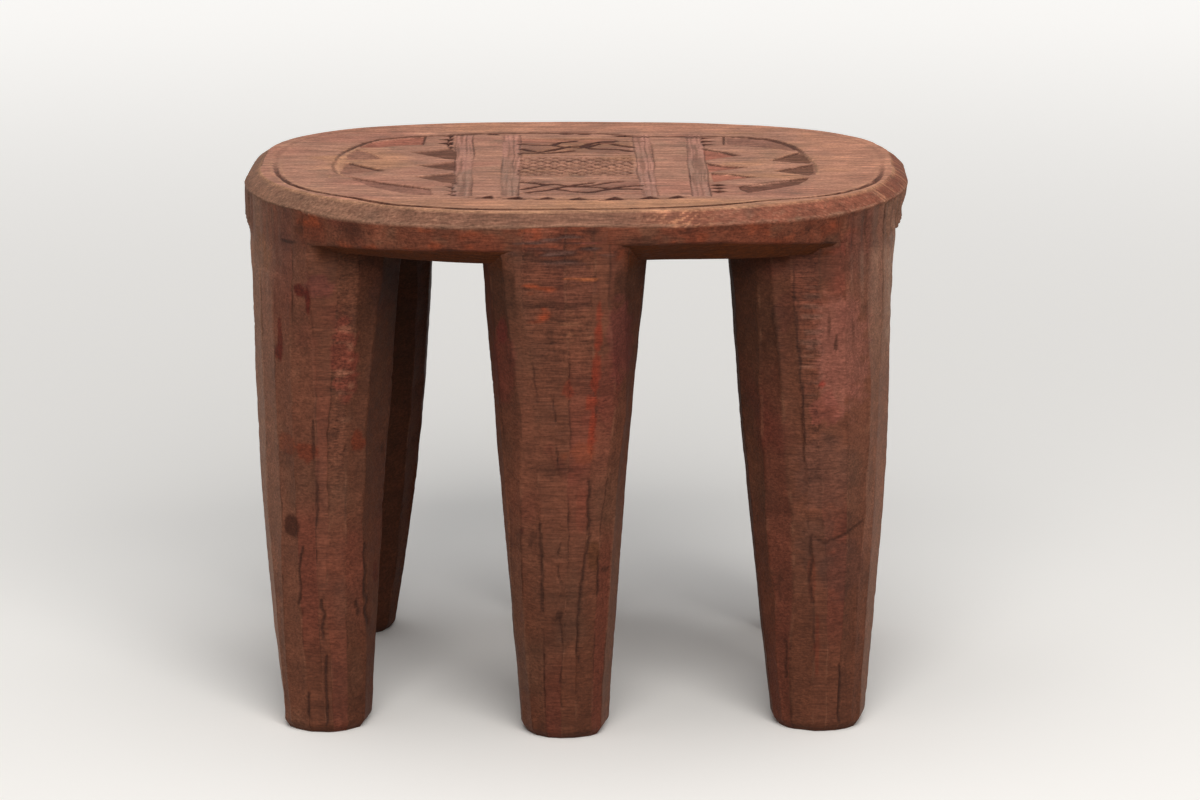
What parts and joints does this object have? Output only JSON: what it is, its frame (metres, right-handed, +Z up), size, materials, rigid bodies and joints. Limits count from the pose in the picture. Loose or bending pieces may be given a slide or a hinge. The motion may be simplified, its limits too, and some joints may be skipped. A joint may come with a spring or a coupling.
{
  "type": "carved wooden stool",
  "caption": "Low oval seat with an incised geometric top on tapering, adze-faceted legs, as carved from one block of wood.",
  "frame": {"origin": "middle of the stool's outline, on the floor", "axes": "+X along the stool's length, to the right as seen from the front; +Y to the back; +Z up"},
  "size_m": [0.38, 0.3, 0.304],
  "materials": {
    "seat_wood": "matte, hand-carved, worn reddish-brown wood",
    "leg_wood": "matte, adze-cut, dark reddish-brown wood"
  },
  "bodies": {
    "root": {"seat": "seat_wood", "leg_front_left": "leg_wood", "leg_front_middle": "leg_wood", "leg_front_right": "leg_wood", "leg_back_left": "leg_wood", "leg_back_middle": "leg_wood", "leg_back_right": "leg_wood"}
  },
  "joints": []
}
